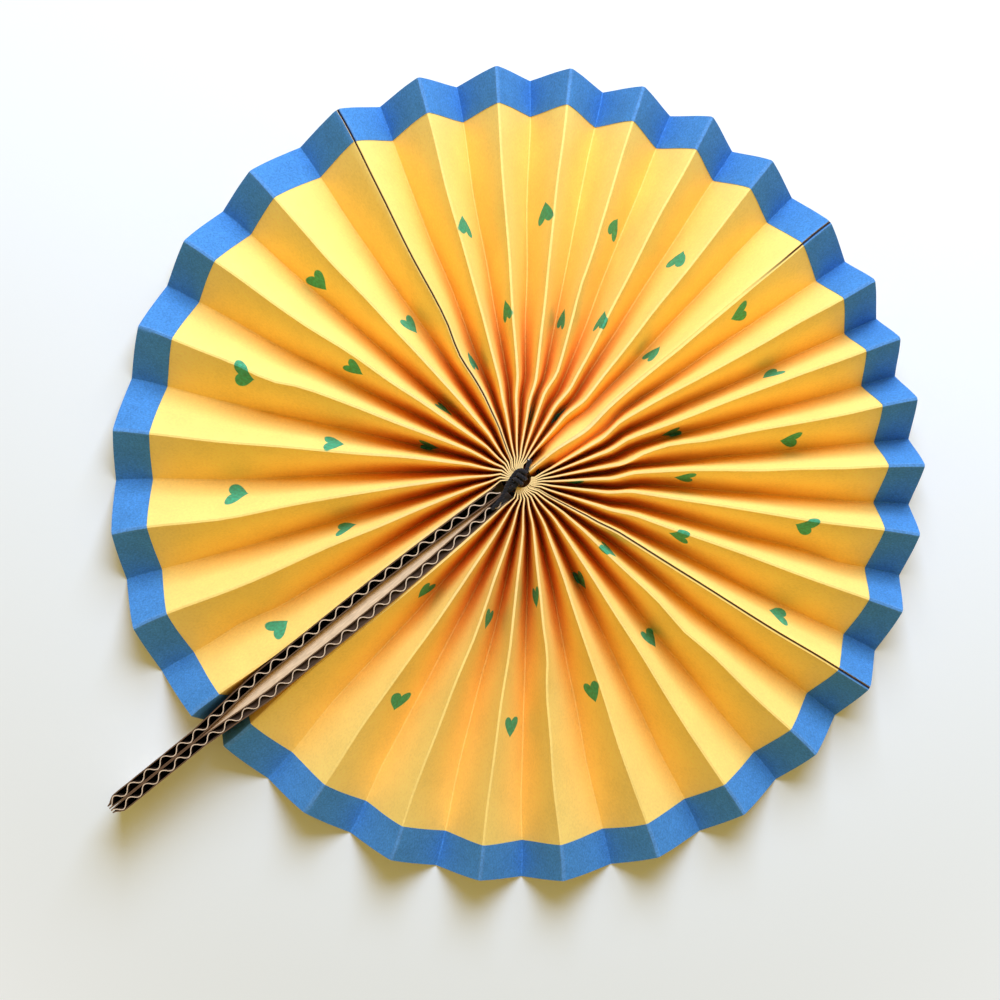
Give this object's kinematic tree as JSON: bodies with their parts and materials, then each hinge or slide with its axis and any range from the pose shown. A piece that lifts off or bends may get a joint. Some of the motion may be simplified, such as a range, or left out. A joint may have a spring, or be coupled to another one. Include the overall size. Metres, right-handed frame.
{
  "type": "pleated paper hand fan",
  "caption": "Round pop-up hand fan of pleated yellow paper with a blue paper rim, tied at the hub and held open by two corrugated board strips that form the handle.",
  "frame": {"origin": "centre of the hub on the plane that the fan lies on", "axes": "+Z out of the decorated front, +Y from the hub away from the handle, so the handle points along -Y"},
  "size_m": [0.21, 0.2411, 0.0197],
  "materials": {
    "yellow_paper": "matte",
    "blue_paper": "matte",
    "corrugated_board": "matte",
    "black_cord": "matte"
  },
  "bodies": {
    "root": {"pleated_sheet_1": "yellow_paper", "pleated_sheet_2": "yellow_paper", "pleated_sheet_3": "yellow_paper", "pleated_sheet_4": "yellow_paper", "border_strip_1": "blue_paper", "border_strip_2": "blue_paper", "border_strip_3": "blue_paper", "border_strip_4": "blue_paper", "handle_strip_left": "corrugated_board", "handle_strip_right": "corrugated_board", "tie_cord": "black_cord"}
  },
  "joints": []
}
